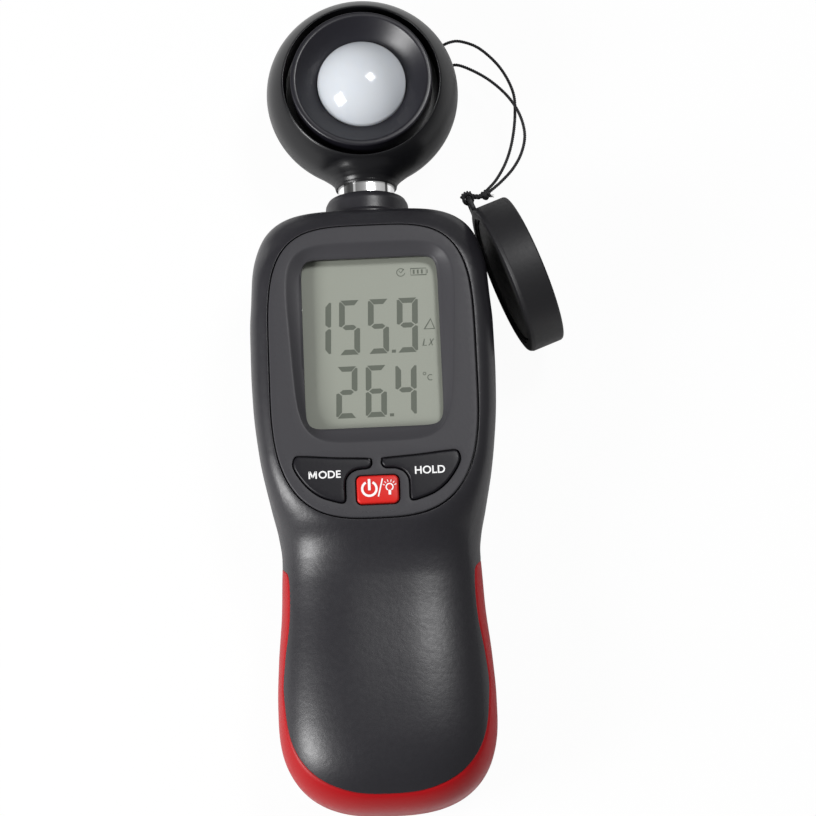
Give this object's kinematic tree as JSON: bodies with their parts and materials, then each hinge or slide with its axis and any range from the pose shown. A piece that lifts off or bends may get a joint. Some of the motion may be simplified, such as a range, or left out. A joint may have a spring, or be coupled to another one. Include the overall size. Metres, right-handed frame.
{
  "type": "handheld light meter",
  "caption": "Handheld light meter with a recessed display, three keys, a waisted grip, a swivelling ball head with a white diffuser dome and a tethered lens cap.",
  "frame": {"origin": "centre of the tripod socket's mouth on the rear face", "axes": "+Y toward the sensor head along the length, +Z out of the display, +X to the right as the display is read"},
  "size_m": [0.0624, 0.1658, 0.031],
  "materials": {
    "shell": "satin",
    "red_rubber": "satin",
    "panel_grey": "satin",
    "clear_window": "gloss",
    "lcd_glass": "gloss",
    "white_plastic": "matte",
    "pink_rubber": "matte",
    "circuit_board": "satin",
    "black_plastic": "satin",
    "black_rubber": "matte",
    "key_dark": "satin",
    "key_red": "satin",
    "cell_can": "gloss",
    "spring_steel": "satin",
    "screw_steel": "satin",
    "brass_insert": "satin",
    "chrome_tube": "gloss",
    "head_black": "satin",
    "baffle_black": "satin",
    "dome_white": "satin",
    "filter_tint": "gloss",
    "wire_black": "satin",
    "cord_black": "matte",
    "cap_black": "satin"
  },
  "bodies": {
    "housing": {"front_cover": "shell", "rear_cover": "shell", "bumper_trim": "red_rubber", "display_bezel": "panel_grey", "lcd_lens": "clear_window", "lcd_panel": "lcd_glass", "backlight_panel": "white_plastic", "lcd_frame": "white_plastic", "zebra_strips": "pink_rubber", "main_board": "circuit_board", "board_components": "black_plastic", "thermistor": "black_plastic", "key_membrane": "black_rubber", "aaa_cells": "cell_can", "battery_springs": "spring_steel", "battery_contacts": "spring_steel", "case_screws": "screw_steel", "tripod_insert": "brass_insert", "neck_bushing": "shell", "wave_washer": "spring_steel", "board_lead": "wire_black", "lead_connector": "white_plastic"},
    "head": {"swivel_tube": "chrome_tube", "retaining_ring": "spring_steel", "swivel_stop": "spring_steel", "head_front": "head_black", "head_rear": "head_black", "baffle_ring": "baffle_black", "diffuser_dome": "dome_white", "filter_glass": "filter_tint", "photodiode": "black_plastic", "sensor_board": "circuit_board", "head_screws": "screw_steel", "head_lead": "wire_black"},
    "key_mode": {"key_mode": "key_dark"},
    "key_hold": {"key_hold": "key_dark"},
    "key_power": {"key_power": "key_red"},
    "battery_door": {"battery_door": "shell"},
    "tether": {"cap_cord": "cord_black"},
    "lens_cap": {"lens_cap": "cap_black"}
  },
  "joints": [
    {"name": "head_swivel", "type": "hinge", "parent": "housing", "child": "head", "pos_m": [0, 0.0437, 0.0155], "axis": [0, 1, 0], "range_deg": [-135, 135]},
    {"name": "mode_press", "type": "slide", "parent": "housing", "child": "key_mode", "axis": [0, 0, -1], "range_m": [0, 0.0008], "stiffness_N_per_m": 900},
    {"name": "hold_press", "type": "slide", "parent": "housing", "child": "key_hold", "axis": [0, 0, -1], "range_m": [0, 0.0008], "stiffness_N_per_m": 900},
    {"name": "power_press", "type": "slide", "parent": "housing", "child": "key_power", "axis": [0, 0, -1], "range_m": [0, 0.0008], "stiffness_N_per_m": 900},
    {"name": "door_hinge", "type": "hinge", "parent": "housing", "child": "battery_door", "pos_m": [0, -0.022, 0.00035], "axis": [1, 0, 0], "range_deg": [0, 75]},
    {"name": "tether_swing", "type": "hinge", "parent": "head", "child": "tether", "pos_m": [0.0145, 0.0725, 0.0046], "axis": [0, 0, 1], "range_deg": [0, 50]},
    {"name": "cap_spin", "type": "hinge", "parent": "tether", "child": "lens_cap", "pos_m": [0.02097, 0.04239, 0.0155], "axis": [0.9367, 0.3502, 0], "range_deg": [-80, 80]}
  ]
}
